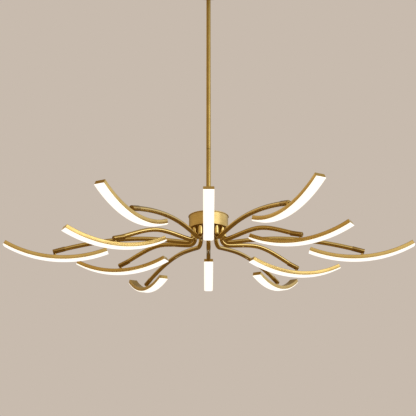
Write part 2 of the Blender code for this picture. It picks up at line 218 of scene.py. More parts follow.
def handling_group():
    """Soft, broad clouding of a lacquered surface, with a few fine pores."""
    tree, take, give = new_group(
        "handling",
        [("Vector", VECTOR, None), ("Size", NUMBER, 12.0), ("Seed", NUMBER, 0.0)],
        [("Clouds", NUMBER), ("Pores", NUMBER)],
    )
    shift = add(tree, "ShaderNodeCombineXYZ", {"X": take["Seed"], "Y": take["Seed"]})
    place = add(tree, "ShaderNodeVectorMath", {0: take["Vector"], 1: shift.outputs[0]},
                operation="ADD")
    clouds = add(tree, "ShaderNodeTexNoise", {
        "Vector": place.outputs[0], "Scale": take["Size"], "Detail": 5.0, "Roughness": 0.62,
    })
    smooth_clouds = add(tree, "ShaderNodeMapRange", {
        "Value": clouds.outputs["Fac"], "From Min": 0.35, "From Max": 0.66,
    })
    pores = add(tree, "ShaderNodeTexNoise", {
        "Vector": place.outputs[0], "Scale": 900.0, "Detail": 2.0, "Roughness": 0.5,
    })
    pore_mask = add(tree, "ShaderNodeMapRange", {
        "Value": pores.outputs["Fac"], "From Min": 0.62, "From Max": 0.74,
    })
    tree.links.new(smooth_clouds.outputs[0], give["Clouds"])
    tree.links.new(pore_mask.outputs[0], give["Pores"])
    return tree


def tone_group():
    """Colour between a deep and a light tone, shaded by two masks, and a matching roughness."""
    tree, take, give = new_group(
        "tone",
        [("Deep", COLOUR, (0.3, 0.2, 0.1, 1)), ("Light", COLOUR, (0.6, 0.4, 0.2, 1)),
         ("Lines", NUMBER, 0.5), ("Clouds", NUMBER, 0.5), ("Pores", NUMBER, 0.0),
         ("Low roughness", NUMBER, 0.25), ("High roughness", NUMBER, 0.4)],
        [("Colour", COLOUR), ("Roughness", NUMBER)],
    )
    share = add(tree, "ShaderNodeMix", {0: 0.55, 2: take["Lines"], 3: take["Clouds"]},
                data_type="FLOAT")
    plain = add(tree, "ShaderNodeMix", {0: share.outputs[0], 6: take["Deep"], 7: take["Light"]},
                data_type="RGBA")
    pore_share = add(tree, "ShaderNodeMath", {0: take["Pores"], 1: 0.35}, operation="MULTIPLY")
    pitted = add(tree, "ShaderNodeMix", {
        0: pore_share.outputs[0], 6: plain.outputs[2], 7: take["Deep"],
    }, data_type="RGBA")
    rough = add(tree, "ShaderNodeMapRange", {
        "Value": share.outputs[0], "To Min": take["High roughness"],
        "To Max": take["Low roughness"],
    })
    tree.links.new(pitted.outputs[2], give["Colour"])
    tree.links.new(rough.outputs[0], give["Roughness"])
    return tree


BRUSH_LINES = brush_lines_group()
HANDLING = handling_group()
TONE = tone_group()


def use_group(tree, group, values):
    node = tree.nodes.new("ShaderNodeGroup")
    node.node_tree = group
    for key, value in values.items():
        if isinstance(value, bpy.types.NodeSocket):
            tree.links.new(value, node.inputs[key])
        else:
            node.inputs[key].default_value = value
    return node.outputs


def new_material(name):
    material = bpy.data.materials.new(name)
    material.use_nodes = True
    tree = material.node_tree
    return material, tree, tree.nodes["Principled BSDF"]


def set_constants(shader, constants):
    for key, value in constants.items():
        shader.inputs[key].default_value = value


# ---------------------------------------------------------------- materials
def brushed_metal(name, deep, light, rough, run, lines=1600.0, relief=0.12):
    """Satin metal between a deep and a light tone, with a low and a high roughness. Run is
    "round" for lathe-turned pieces and "along" for drawn ones. Lines are counted per metre."""
    material, tree, shader = new_material(name)
    wrap = add(tree, "ShaderNodeUVMap", uv_map="wrap")
    parts = add(tree, "ShaderNodeSeparateXYZ", {"Vector": wrap.outputs[0]})
    across, down, grain_turn = ("Y", "X", 0.0) if run == "round" else ("X", "Y", 0.25)
    grain = add(tree, "ShaderNodeTangent", direction_type="UV_MAP", uv_map="wrap")
    tree.links.new(grain.outputs[0], shader.inputs["Tangent"])
    vector = add(tree, "ShaderNodeCombineXYZ", {
        "X": parts.outputs[across], "Y": parts.outputs[down],
    })
    place = add(tree, "ShaderNodeTexCoord")
    own = add(tree, "ShaderNodeObjectInfo")
    seed = add(tree, "ShaderNodeMath", {0: own.outputs["Random"], 1: 37.0}, operation="MULTIPLY")
    brush = use_group(tree, BRUSH_LINES, {
        "Vector": vector.outputs[0], "Lines per metre": lines, "Runs per metre": 28.0,
        "Seed": seed.outputs[0],
    })
    cloud = use_group(tree, HANDLING, {
        "Vector": place.outputs["Object"], "Size": 14.0, "Seed": seed.outputs[0],
    })
    tone = use_group(tree, TONE, {
        "Deep": (*deep, 1), "Light": (*light, 1), "Lines": brush["Lines"],
        "Clouds": cloud["Clouds"], "Pores": cloud["Pores"],
        "Low roughness": rough[0], "High roughness": rough[1],
    })
    bump = add(tree, "ShaderNodeBump", {
        "Height": brush["Height"], "Strength": relief, "Distance": 0.0001,
    })
    tree.links.new(tone["Colour"], shader.inputs["Base Color"])
    tree.links.new(tone["Roughness"], shader.inputs["Roughness"])
    tree.links.new(bump.outputs[0], shader.inputs["Normal"])
    set_constants(shader, {
        "Metallic": 1.0, "Coat Weight": 0.1, "Coat Roughness": 0.2, "Anisotropic": 0.4,
        "Anisotropic Rotation": grain_turn,
    })
    return material


def opal_material():
    """The lit diffuser: white acrylic that glows, fullest over the line of LEDs."""
    material, tree, shader = new_material("opal_acrylic")
    place = add(tree, "ShaderNodeTexCoord")
    parts = add(tree, "ShaderNodeSeparateXYZ", {"Vector": place.outputs["Object"]})
    side = add(tree, "ShaderNodeMath", {0: parts.outputs["Y"]}, operation="ABSOLUTE")
    fall = add(tree, "ShaderNodeMapRange", {
        "Value": side.outputs[0], "From Min": BAR_WIDTH * 0.18, "From Max": BAR_WIDTH * 0.5,
    }, interpolation_type="SMOOTHSTEP")
    own = add(tree, "ShaderNodeObjectInfo")
    cloud = use_group(tree, HANDLING, {
        "Vector": place.outputs["Object"], "Size": 30.0, "Seed": own.outputs["Random"],
    })
    glow = add(tree, "ShaderNodeMix", {
        0: fall.outputs[0], 6: (1.0, 0.99, 0.96, 1), 7: (1.0, 0.95, 0.86, 1),
    }, data_type="RGBA")
    tree.links.new(glow.outputs[2], shader.inputs["Emission Color"])
    milk = add(tree, "ShaderNodeMix", {
        0: cloud["Clouds"], 6: (0.70, 0.69, 0.66, 1), 7: (0.76, 0.75, 0.72, 1),
    }, data_type="RGBA")
    tree.links.new(milk.outputs[2], shader.inputs["Base Color"])
    rough = add(tree, "ShaderNodeMapRange", {
        "Value": cloud["Clouds"], "To Min": 0.36, "To Max": 0.48,
    })
    tree.links.new(rough.outputs[0], shader.inputs["Roughness"])
    set_constants(shader, {"Emission Strength": 1.05, "IOR": 1.49})
    return material


def moulded(name, deep, light, rough=(0.42, 0.58)):
    """Moulded plastic with a fine spark-eroded grain."""
    material, tree, shader = new_material(name)
    place = add(tree, "ShaderNodeTexCoord")
    cloud = use_group(tree, HANDLING, {"Vector": place.outputs["Object"], "Size": 25.0})
    tone = use_group(tree, TONE, {
        "Deep": (*deep, 1), "Light": (*light, 1), "Clouds": cloud["Clouds"],
        "Pores": cloud["Pores"], "Low roughness": rough[0], "High roughness": rough[1],
    })
    sparks = add(tree, "ShaderNodeTexNoise", {
        "Vector": place.outputs["Object"], "Scale": 260.0, "Detail": 2.0,
    })
    bump = add(tree, "ShaderNodeBump", {
        "Height": sparks.outputs["Fac"], "Strength": 0.2, "Distance": 0.0002,
    })
    tree.links.new(tone["Colour"], shader.inputs["Base Color"])
    tree.links.new(tone["Roughness"], shader.inputs["Roughness"])
    tree.links.new(bump.outputs[0], shader.inputs["Normal"])
    return material


def zinc_material():
    """Zinc-plated sheet: a faint crystal pattern under a bluish passivation."""
    material, tree, shader = new_material("zinc_plate")
    place = add(tree, "ShaderNodeTexCoord")
    crystals = add(tree, "ShaderNodeTexVoronoi", {
        "Vector": place.outputs["Object"], "Scale": 320.0,
    })
    cloud = use_group(tree, HANDLING, {"Vector": place.outputs["Object"], "Size": 40.0})
    grey = add(tree, "ShaderNodeSeparateColor", {"Color": crystals.outputs["Color"]})
    tone = use_group(tree, TONE, {
        "Deep": (0.42, 0.44, 0.47, 1), "Light": (0.66, 0.66, 0.64, 1),
        "Lines": grey.outputs[0], "Clouds": cloud["Clouds"], "Pores": cloud["Pores"],
        "Low roughness": 0.3, "High roughness": 0.48,
    })
    tree.links.new(tone["Colour"], shader.inputs["Base Color"])
    tree.links.new(tone["Roughness"], shader.inputs["Roughness"])
    set_constants(shader, {"Metallic": 1.0})
    return material


TURNED_BRASS = brushed_metal(
    "turned_brass", (0.50, 0.355, 0.12), (0.76, 0.59, 0.26), (0.24, 0.42), "round", lines=760
)
ROD_BRASS = brushed_metal(
    "rod_brass", (0.42, 0.295, 0.085), (0.50, 0.37, 0.125), (0.30, 0.38), "along", relief=0.01
)
ARM_BRASS = brushed_metal(
    "arm_brass", (0.66, 0.48, 0.165), (0.76, 0.60, 0.25), (0.12, 0.18), "along", relief=0.01
)
CHANNEL_BRASS = brushed_metal(
    "channel_brass", (0.58, 0.415, 0.135), (0.72, 0.555, 0.225), (0.26, 0.34), "along", relief=0.015
)
SLEEVE_BRASS = brushed_metal(
    "sleeve_brass", (0.42, 0.285, 0.085), (0.56, 0.40, 0.15), (0.16, 0.26), "round", relief=0.02
)
OPAL = opal_material()
ZINC = zinc_material()
DRIVER_PLASTIC = moulded("driver_plastic", (0.70, 0.70, 0.68), (0.84, 0.84, 0.82))
CLAMP_PLASTIC = moulded("clamp_plastic", (0.80, 0.79, 0.74), (0.90, 0.89, 0.85))
RED_SHEATH = moulded("red_sheath", (0.42, 0.02, 0.02), (0.55, 0.04, 0.03), (0.35, 0.45))
BLACK_SHEATH = moulded("black_sheath", (0.012, 0.012, 0.012), (0.03, 0.03, 0.03), (0.35, 0.45))
BOARD_WHITE = moulded("board_white", (0.80, 0.80, 0.78), (0.90, 0.90, 0.88))
PHOSPHOR = moulded("phosphor_yellow", (0.80, 0.55, 0.10), (0.90, 0.68, 0.20))


# ---------------------------------------------------------------- mesh helpers
def rounded(points, closed=True, steps=4):
    """An outline with its corners rounded. Each point is (a, b) or (a, b, radius)."""
    result = []
    count = len(points)
    for i, point in enumerate(points):
        here = Vector(point[:2])
        inner = closed or 0 < i < count - 1
        if len(point) < 3 or not inner:
            result.append(here)
            continue
        radius = point[2]
        back = (Vector(points[i - 1][:2]) - here).normalized()
        on = (Vector(points[(i + 1) % count][:2]) - here).normalized()
        half = back.angle(on) / 2
        centre = here + (back + on).normalized() * radius / math.sin(half)
        start = here + back * radius / math.tan(half) - centre
        end = here + on * radius / math.tan(half) - centre
        for step in range(steps + 1):
            result.append(centre + start.lerp(end, step / steps).normalized() * radius)
    return result


def loft(name, rings, wrap=False, caps=True):
    """Skins a row of rings with the same number of points, and lays out its map in metres."""
    work = bmesh.new()
    layer = work.loops.layers.uv.new("wrap")
    rows = [[work.verts.new(point) for point in ring] for ring in rings]
    count = len(rows[0])
    middle = rings[len(rings) // 2]
    around = sum((Vector(middle[j]) - Vector(middle[j - 1])).length for j in range(count))
    travel = [0.0]
    for low, high in zip(rings, rings[1:] + rings[:1]):
        travel.append(travel[-1] + (Vector(high[0]) - Vector(low[0])).length)
    last = len(rows) if wrap else len(rows) - 1
    for i in range(last):
        low, high = rows[i], rows[(i + 1) % len(rows)]
        for j in range(count):
            k = (j + 1) % count
            face = work.faces.new((low[j], low[k], high[k], high[j]))
            corners = ((j, i), (j + 1, i), (j + 1, i + 1), (j, i + 1))
            for loop, (u, v) in zip(face.loops, corners):
                loop[layer].uv = (u / count * around, travel[v])
    if caps and not wrap:
        for row in (rows[0], rows[-1]):
            face = work.faces.new(row)
            for loop in face.loops:
                loop[layer].uv = (loop.vert.co.x + loop.vert.co.y, loop.vert.co.z)
    bmesh.ops.remove_doubles(work, verts=work.verts, dist=0.000002)
    bmesh.ops.dissolve_degenerate(work, edges=work.edges, dist=0.000001)
    bmesh.ops.recalc_face_normals(work, faces=work.faces)
    mesh = bpy.data.meshes.new(name)
    work.to_mesh(mesh)
    work.free()
    mesh.shade_smooth()
    mesh.set_sharp_from_angle(angle=SHARP_ANGLE)
    return mesh


def turned(name, profile, sides=TURNED_SIDES, closed=True, hex_from=None, knurl_from=None):
    """A piece turned about Z from (radius, height) points. Beyond hex_from it has six flats,
    and beyond knurl_from fine straight ridges."""
    rings = []
    for radius, height in profile:
        ring = []
        for j in range(sides):
            angle = 2 * math.pi * j / sides
            reach = radius
            if hex_from is not None and radius > hex_from:
                reach = radius * math.cos(math.pi / 6) / math.cos(angle % (math.pi / 3) - math.pi / 6)
            if knurl_from is not None and radius > knurl_from:
                reach -= KNURL_DEPTH * (j % 2)
            ring.append((reach * math.cos(angle), reach * math.sin(angle), height))
        rings.append(ring)
    return loft(name, rings, wrap=closed, caps=False)


def join_meshes(name, meshes):
    """Several closed shells in one mesh."""
    work = bmesh.new()
    for mesh in meshes:
        work.from_mesh(mesh)
    result = bpy.data.meshes.new(name)
    work.to_mesh(result)
    work.free()
    result.set_sharp_from_angle(angle=SHARP_ANGLE)
    return result


def box_mesh(name, low, high, edge):
    """A block between two corners with rounded edges."""
    low, high = Vector(low), Vector(high)
    size, centre = high - low, (high + low) / 2
    outline = rounded([
        (-size.x / 2, -size.y / 2, edge), (size.x / 2, -size.y / 2, edge),
        (size.x / 2, size.y / 2, edge), (-size.x / 2, size.y / 2, edge),
    ], steps=3)
    rings = []
    for inset, height in ((edge, low.z), (0.0, low.z + edge), (0.0, high.z - edge), (edge, high.z)):
        scale_x, scale_y = 1 - 2 * inset / size.x, 1 - 2 * inset / size.y
        rings.append([(centre.x + p.x * scale_x, centre.y + p.y * scale_y, height) for p in outline])
    return loft(name, rings)


def show(name, mesh, material, body, matrix=None, stands_for=()):
    """Adds a piece that rides on a body."""
    piece = bpy.data.objects.new(name, mesh)
    if not mesh.materials:
        mesh.materials.append(material)
    bpy.context.scene.collection.objects.link(piece)
    if matrix is not None:
        piece.matrix_world = matrix
        bpy.context.view_layer.update()
    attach(piece, body)
    if stands_for:
        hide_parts(*stands_for)
    return piece


def refinish(node, material, edge=None):
    """Gives a solid that is shown as it is its material and, if asked, softened edges."""
    item = NODES[node]
    item.data.materials.clear()
    item.data.materials.append(material)
    if edge:
        soften = item.modifiers.new("edges", "BEVEL")
        soften.width = edge
        soften.segments = 2
        soften.limit_method = "ANGLE"
        soften.angle_limit = math.radians(50)
    return item


# ---------------------------------------------------------------- ceiling fixing
def make_canopy():
    radius = CANOPY_HIGH.x
    floor, rim = CANOPY_LOW.z, CANOPY_HIGH.z
    inside, ledge = radius - CANOPY_WALL, floor + CANOPY_WALL
    profile = rounded([
        (inside, rim, mm(0.3)), (radius, rim, mm(0.3)), (radius, floor, CANOPY_BEND),
        (THREAD_HOLE_R, floor, mm(0.3)), (THREAD_HOLE_R, ledge, mm(0.3)),
        (inside, ledge, CANOPY_BEND - CANOPY_WALL),
    ], steps=8)
    show("canopy_shell", turned("canopy_shell", profile), TURNED_BRASS, FIXED,
         stands_for=["canopy_cup"])
    grip = ROD_R + CLOSE_GAP
    collar_top, collar_low = floor - mm(0.2), floor - mm(2.5)
    collar = rounded([
        (grip, collar_top), (COLLAR_R, collar_top, mm(0.6)),
        (COLLAR_R * 0.9, collar_low, mm(1.2)), (grip, collar_low, mm(0.3)),
    ])
    show("canopy_collar", turned("canopy_collar", collar, COLLAR_SIDES), TURNED_BRASS, FIXED)


def make_canopy_screws():
    """Knurled thumb screws through the canopy's wall, one on each side."""
    head_r, head, shank = SCREW_HEAD_R, SCREW_HEAD_HIGH, SCREW_SHANK_R
    profile = rounded([
        (0, head), (head_r * 0.55, head, mm(0.2)), (head_r * 0.62, head * 0.86, mm(0.1)),
        (head_r, head * 0.86, mm(0.5)), (head_r, 0, mm(0.4)), (shank, 0),
        (shank, -mm(17), mm(0.5)), (0, -mm(18)),
    ], closed=False, steps=3)
    mesh = turned("thumb_screw", profile, KNURL_SIDES, closed=False, knurl_from=head_r * 0.9)
    for side, hand in ((-1, "left"), (1, "right")):
        node = f"canopy_screw_{hand}"
        low, high = node_box(node)
        middle = (low + high) / 2
        middle.x = side * (CANOPY_HIGH.x + GAP)
        matrix = Matrix.Translation(middle) @ Matrix.Rotation(side * math.pi / 2, 4, "Y")
        show(f"thumb_screw_{hand}", mesh, TURNED_BRASS, FIXED, matrix, [node])


def make_wiring():
    """What sits in the canopy: bracket, nut, driver with its lid, mains terminals, and two
    leads into the rod. The rod's joiner gets its metal here too."""
    refinish("ceiling_bracket", ZINC, mm(0.3))
    refinish("canopy_nut", ZINC, mm(0.3))
    refinish("rod_joiner", ZINC)
    refinish("led_driver", DRIVER_PLASTIC, mm(0.6))
    lid_low = (DRIVER_LOW.x + LID_INSET, DRIVER_LOW.y + LID_INSET, DRIVER_HIGH.z - mm(0.2))
    lid_high = (DRIVER_HIGH.x - LID_INSET, DRIVER_HIGH.y - LID_INSET, DRIVER_HIGH.z + mm(1.2))
    lid = box_mesh("driver_lid", lid_low, lid_high, mm(0.6))
    show("driver_lid", lid, DRIVER_PLASTIC, FIXED)
    floor = CANOPY_LOW.z + mm(1.6)
    block_low = Vector((-mm(18), -mm(44), floor))
    block_high = Vector((mm(18), -mm(26), floor + mm(13)))
    block = box_mesh("terminal_block", block_low, block_high, mm(1))
    show("terminal_block", block, CLAMP_PLASTIC, FIXED)
    head = rounded([
        (0, mm(1.2)), (mm(2.2), mm(1.2), mm(0.3)), (mm(2.2), 0), (0, 0),
    ], closed=False)
    screw = turned("terminal_screw", head, TINY_SIDES, closed=False)
    for i, name in ((-1, "left"), (0, "middle"), (1, "right")):
        spot = Vector((i * TERMINAL_PITCH, (block_low.y + block_high.y) / 2, block_high.z - mm(0.1)))
        show(f"terminal_screw_{name}", screw, ZINC, FIXED, Matrix.Translation(spot))
    top = UPPER_HIGH.z
    for side, material, name in ((-1, RED_SHEATH, "positive"), (1, BLACK_SHEATH, "negative")):
        start = Vector((side * mm(16), DRIVER_LOW.y, DRIVER_HIGH.z - mm(6)))
        out = start + Vector((side * mm(2), -mm(9), mm(3)))
        over = Vector((side * mm(5), mm(3), top + mm(8)))
        mouth = Vector((side * mm(1.1), 0, top + mm(2)))
        end = Vector((side * mm(1.1), 0, top - mm(8)))
        lead(f"driver_lead_{name}", [start, out, over, mouth, end], LEAD_R, material)


def lead(name, points, radius, material):
    """A short insulated wire through a few points."""
    curve = bpy.data.curves.new(name, "CURVE")
    curve.dimensions = "3D"
    curve.bevel_depth = radius
    curve.bevel_resolution = 3
    curve.resolution_u = 8
    curve.use_fill_caps = True
    spline = curve.splines.new("BEZIER")
    spline.bezier_points.add(len(points) - 1)
    for knot, point in zip(spline.bezier_points, points):
        knot.co = point
        knot.handle_left_type = "AUTO"
        knot.handle_right_type = "AUTO"
    curve.materials.append(material)
    piece = bpy.data.objects.new(name, curve)
    bpy.context.scene.collection.objects.link(piece)
    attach(piece, FIXED)


# ---------------------------------------------------------------- rod and hub
def make_rods():
    """Two lengths of tube, each necked down to a thread at its outer end."""
    neck = mm(6)
    shoulder = CANOPY_LOW.z - GAP
    upper = rounded([
        (THREAD_BORE_R, UPPER_HIGH.z), (THREAD_R, UPPER_HIGH.z, mm(0.3)), (THREAD_R, shoulder),
        (ROD_R, shoulder, mm(0.4)), (ROD_R, UPPER_LOW.z, mm(0.5)), (ROD_BORE_R, UPPER_LOW.z),
        (ROD_BORE_R, shoulder - neck), (THREAD_BORE_R, shoulder - neck),
    ])
    show("rod_upper_tube", turned("rod_upper_tube", upper, ROD_SIDES), ROD_BRASS, FIXED,
         stands_for=["rod_upper"])
    seat = HUB_HIGH.z + GAP
    lower = rounded([
        (ROD_BORE_R, LOWER_HIGH.z), (ROD_R, LOWER_HIGH.z, mm(0.5)), (ROD_R, seat, mm(0.3)),
        (THREAD_R, seat), (THREAD_R, LOWER_LOW.z, mm(0.3)), (THREAD_BORE_R, LOWER_LOW.z),
        (THREAD_BORE_R, seat + neck), (ROD_BORE_R, seat + neck),
    ])
    show("rod_lower_tube", turned("rod_lower_tube", lower, ROD_SIDES), ROD_BRASS, FIXED,
         stands_for=["rod_lower"])


def make_hub():
    """The drum with its lid, the collar on the rod, the base plate and the nut below it."""
    rim, radius = HUB_HIGH.x, HUB_HIGH.x - HUB_RIM
    top, bottom, ceiling = HUB_HIGH.z, HUB_LOW.z, HUB_HIGH.z - HUB_LID
    cup = rounded([
        (THREAD_HOLE_R, top), (rim, top, mm(0.9)), (rim, ceiling, mm(0.5)),
        (radius, ceiling - mm(0.2), mm(0.3)), (radius, bottom, mm(0.5)),
        (radius - HUB_WALL, bottom, mm(0.4)), (radius - HUB_WALL, ceiling, mm(0.8)),
        (THREAD_HOLE_R, ceiling),
    ], steps=5)
    show("hub_shell", turned("hub_shell", cup, HUB_SIDES), TURNED_BRASS, FIXED,
         stands_for=["hub_cup"])
    grip = ROD_R + CLOSE_GAP
    boss_low, boss_top = top + mm(0.2), top + mm(4)
    boss = rounded([
        (grip, boss_low), (grip, boss_top, mm(0.4)),
        (mm(9), boss_top, mm(0.8)), (mm(10.5), boss_low, mm(0.4)),
    ])
    show("hub_rod_collar", turned("hub_rod_collar", boss, COLLAR_SIDES), TURNED_BRASS, FIXED)
    make_base_plate()
    cap_r, cap_top, cap_low = CAP_HIGH.x, CAP_HIGH.z, CAP_LOW.z
    bore_r, bore_end = mm(5.1), CAP_HIGH.z - mm(4.5)
    nut = rounded([
        (0, bore_end), (bore_r, bore_end), (bore_r, cap_top),
        (cap_r, cap_top, mm(0.5)), (cap_r, cap_top - mm(4), mm(0.8)),
        (cap_r * 0.72, cap_low + mm(0.9), mm(2)), (0, cap_low),
    ], closed=False)
    show("hub_finial_nut", turned("hub_finial_nut", nut, ROD_SIDES, closed=False), TURNED_BRASS, FIXED,
         stands_for=["hub_cap_nut"])


def make_base_plate():
    """A turned disc with a hole for each arm's stub."""
    radius, hole = HUB_HIGH.x - HUB_RIM - mm(1.8), THREAD_HOLE_R
    profile = rounded([
        (hole, PLATE_HIGH.z), (radius, PLATE_HIGH.z, mm(0.4)), (radius, PLATE_LOW.z, mm(0.6)),
        (hole, PLATE_LOW.z, mm(0.3)),
    ])
    plate = show("hub_floor_plate", turned("hub_floor_plate", profile, HUB_SIDES), TURNED_BRASS, FIXED,
                 stands_for=["hub_base_plate"])
    work = bmesh.new()
    for number in NUMBERS:
        stub = arm_stub(number)
        bmesh.ops.create_cone(
            work, cap_ends=True, segments=STUB_HOLE_SIDES, radius1=STUB_HOLE_R, radius2=STUB_HOLE_R,
            depth=mm(12),
            matrix=Matrix.Translation((stub.x, stub.y, PLATE_LOW.z)),
        )
    holes = bpy.data.meshes.new("stub_holes")
    work.to_mesh(holes)
    work.free()
    tool = bpy.data.objects.new("stub_holes", holes)
    bpy.context.scene.collection.objects.link(tool)
    subtract(plate, tool)


def subtract(piece, tool):
    """Cuts one mesh out of another and removes the tool."""
    modifier = piece.modifiers.new("cut", "BOOLEAN")
    modifier.operation = "DIFFERENCE"
    modifier.solver = "EXACT"
    modifier.object = tool
    bpy.context.view_layer.update()
    graph = bpy.context.evaluated_depsgraph_get()
    mesh = bpy.data.meshes.new_from_object(piece.evaluated_get(graph))
    mesh.name = piece.data.name + "_cut"
    piece.modifiers.clear()
    piece.data = mesh
    bpy.data.objects.remove(tool, do_unlink=True)
    mesh.set_sharp_from_angle(angle=SHARP_ANGLE)


# ---------------------------------------------------------------- arms
def arm_stub(number):
    """The top of an arm's stub, read from its solid."""
    corners = [vertex.co for vertex in NODES[f"arm_{number}"].data.vertices]
    top = max(point.z for point in corners)
    ring = [point for point in corners if point.z > top - mm(0.6)]
    return sum(ring, Vector()) / len(ring)


def smooth_run(start, end, start_slope, end_slope, steps):
    """Points after the start of a curve between two (x, z) points with given slopes."""
    span = end[0] - start[0]
    points = []
    for i in range(1, steps + 1):
        t = i / steps
        z = (
            (2 * t**3 - 3 * t**2 + 1) * start[1] + (t**3 - 2 * t**2 + t) * span * start_slope
            + (3 * t**2 - 2 * t**3) * end[1] + (t**3 - t**2) * span * end_slope
        )
        points.append((start[0] + span * t, z))
    return points


def arm_route(kind):
    """An arm's centre line as (x, z): down out of the hub, round the bend, over the crest."""
    top = PLATE_HIGH.z - ARM_LEVEL + mm(8)
    centre = (ARM_RING_R + BEND_R, BEND_LOW + BEND_R)
    bend_end = math.pi / 2 + math.atan(RISE_SLOPE)
    route = [(ARM_RING_R, top), (ARM_RING_R, top - mm(10)), (ARM_RING_R, centre[1] + mm(4))]
    steps = 14
    for i in range(steps + 1):
        angle = bend_end * i / steps
        route.append((centre[0] - BEND_R * math.cos(angle), centre[1] - BEND_R * math.sin(angle)))
    crest = (kind["crest_at"], kind["crest"])
    route += smooth_run(route[-1], crest, RISE_SLOPE, 0.0, 14)
    route += smooth_run(crest, (kind["reach"], kind["end"]), 0.0, -kind["fall"], 26)
    return route


def tube_mesh(name, route, radius):
    """A round bar along a route of (x, z) points."""
    line = [Vector((x, 0, z)) for x, z in route]
    rings = []
    for i, point in enumerate(line):
        ahead = line[min(i + 1, len(line) - 1)] - line[max(i - 1, 0)]
        side = Vector((0, 1, 0))
        up = ahead.normalized().cross(side)
        ring = []
        for j in range(ARM_SIDES):
            angle = 2 * math.pi * j / ARM_SIDES
            ring.append(tuple(point + up * radius * math.cos(angle) + side * radius * math.sin(angle)))
        rings.append(ring)
    return loft(name, rings)


def arm_tube(name, kind):
    """The tube stops inside the end sleeve, at the floor of the sleeve's bore."""
    route = arm_route(kind)
    slope = math.atan(kind["fall"])
    back = -SLEEVE_FLOOR + GAP
    while route[-1][0] > kind["reach"] - back * math.cos(slope):
        route.pop()
    route.append((kind["reach"] - back * math.cos(slope), kind["end"] + back * math.sin(slope)))
    return tube_mesh(name, route, ARM_R)


def sleeve_frame(kind):
    """Where an arm ends, with +Z along the sleeve towards its mouth."""
    slope = math.atan(kind["fall"])
    return Matrix.Translation((kind["reach"], 0, kind["end"])) @ Matrix.Rotation(
        math.pi / 2 + slope, 4, "Y"
    )


def sleeve_mesh(name, kind):
    """The end sleeve in the arm's frame, with its bore and the hole for the stem."""
    grip = ARM_R + mm(0.02)
    profile = rounded([
        (grip, SLEEVE_BACK), (SLEEVE_R, SLEEVE_BACK, mm(0.5)), (SLEEVE_R, SLEEVE_FRONT, mm(0.4)),
        (SLEEVE_BORE_R, SLEEVE_FRONT, mm(0.3)), (SLEEVE_BORE_R, SLEEVE_FLOOR), (grip, SLEEVE_FLOOR),
    ])
    mesh = turned(name, profile, SLEEVE_SIDES)
    mesh.transform(sleeve_frame(kind))
    piece = bpy.data.objects.new(name + "_blank", mesh)
    bpy.context.scene.collection.objects.link(piece)
    below = SLEEVE_R / math.cos(math.atan(kind["fall"]))
    work = bmesh.new()
    spot = Vector((kind["reach"], 0, kind["end"] - below))
    bmesh.ops.create_cone(
        work, cap_ends=True, segments=TINY_SIDES, radius1=STEM_HOLE_R, radius2=STEM_HOLE_R,
        depth=mm(7), matrix=Matrix.Translation(spot),
    )
    drill = bpy.data.meshes.new("stem_drill")
    work.to_mesh(drill)
    work.free()
    tool = bpy.data.objects.new("stem_drill", drill)
    bpy.context.scene.collection.objects.link(tool)
    subtract(piece, tool)
    result = piece.data
    bpy.data.objects.remove(piece, do_unlink=True)
    return result


def sleeve_plug_mesh(name, kind):
    """The shallow domed plug pressed into the sleeve's mouth."""
    face, back, fit = SLEEVE_FRONT - mm(0.8), SLEEVE_FRONT - mm(2.6), SLEEVE_BORE_R - mm(0.05)
    mesh = turned(name, rounded([
        (0, face + mm(0.4)), (fit * 0.6, face + mm(0.25), mm(2)), (fit, face, mm(0.3)),
        (fit, back, mm(0.2)), (0, back),
    ], closed=False), NUT_SIDES, closed=False)
    mesh.transform(sleeve_frame(kind))
    return mesh


def arm_place(number, kind):
    """Places an arm's own frame from the stub and the stem's joint."""
    stub = arm_stub(number)
    end = Vector(JOINTS[f"bar_swivel_{number}"]["pos_m"])
    heading = math.atan2(end.y - stub.y, end.x - stub.x)
    nominal = ARM_LEVEL + kind["end"] - SLEEVE_R / math.cos(math.atan(kind["fall"]))
    lift = math.asin((end.z - nominal) / (kind["reach"] - ARM_RING_R))
    pivot = Vector((ARM_RING_R, 0, PLATE_LOW.z - ARM_LEVEL))
    return (
        Matrix.Translation((stub.x, stub.y, PLATE_LOW.z)) @ Matrix.Rotation(heading, 4, "Z")
        @ Matrix.Rotation(-lift, 4, "Y") @ Matrix.Translation(-pivot)
    )


def arm_kind(number):
    """Long or short, by how far out the arm's light bar hangs."""
    end = Vector(JOINTS[f"bar_swivel_{number}"]["pos_m"])
    return LONG if end.xy.length > (SHORT["reach"] + LONG["reach"]) / 2 else SHORT


def make_arms():
    tubes = {"short": arm_tube("short_tube", SHORT), "long": arm_tube("long_tube", LONG)}
    sleeves = {"short": sleeve_mesh("short_sleeve", SHORT), "long": sleeve_mesh("long_sleeve", LONG)}
    plugs = {
        "short": sleeve_plug_mesh("short_plug", SHORT), "long": sleeve_plug_mesh("long_plug", LONG),
    }
    grip, nut_low = ARM_R + mm(0.05), PLATE_HIGH.z + mm(0.2) - ARM_LEVEL
    nut_top = nut_low + LOCKNUT_HIGH
    locknut = turned("arm_locknut", rounded([
        (grip, nut_low), (LOCKNUT_R, nut_low, mm(0.4)), (LOCKNUT_R, nut_top, mm(0.4)), (grip, nut_top),
    ]), NUT_SIDES, hex_from=LOCKNUT_FLATS_FROM)
    locknut.transform(Matrix.Translation((ARM_RING_R, 0, 0)))
    for number in NUMBERS:
        kind = arm_kind(number)
        length = "long" if kind is LONG else "short"
        place = arm_place(number, kind)
        show(f"arm_tube_{number}", tubes[length], ARM_BRASS, FIXED, place,
             [f"arm_{number}"])
        show(f"arm_sleeve_{number}", sleeves[length], SLEEVE_BRASS, FIXED, place)
        show(f"arm_plug_{number}", plugs[length], SLEEVE_BRASS, FIXED, place)
        show(f"arm_locknut_{number}", locknut, ZINC, FIXED, place)


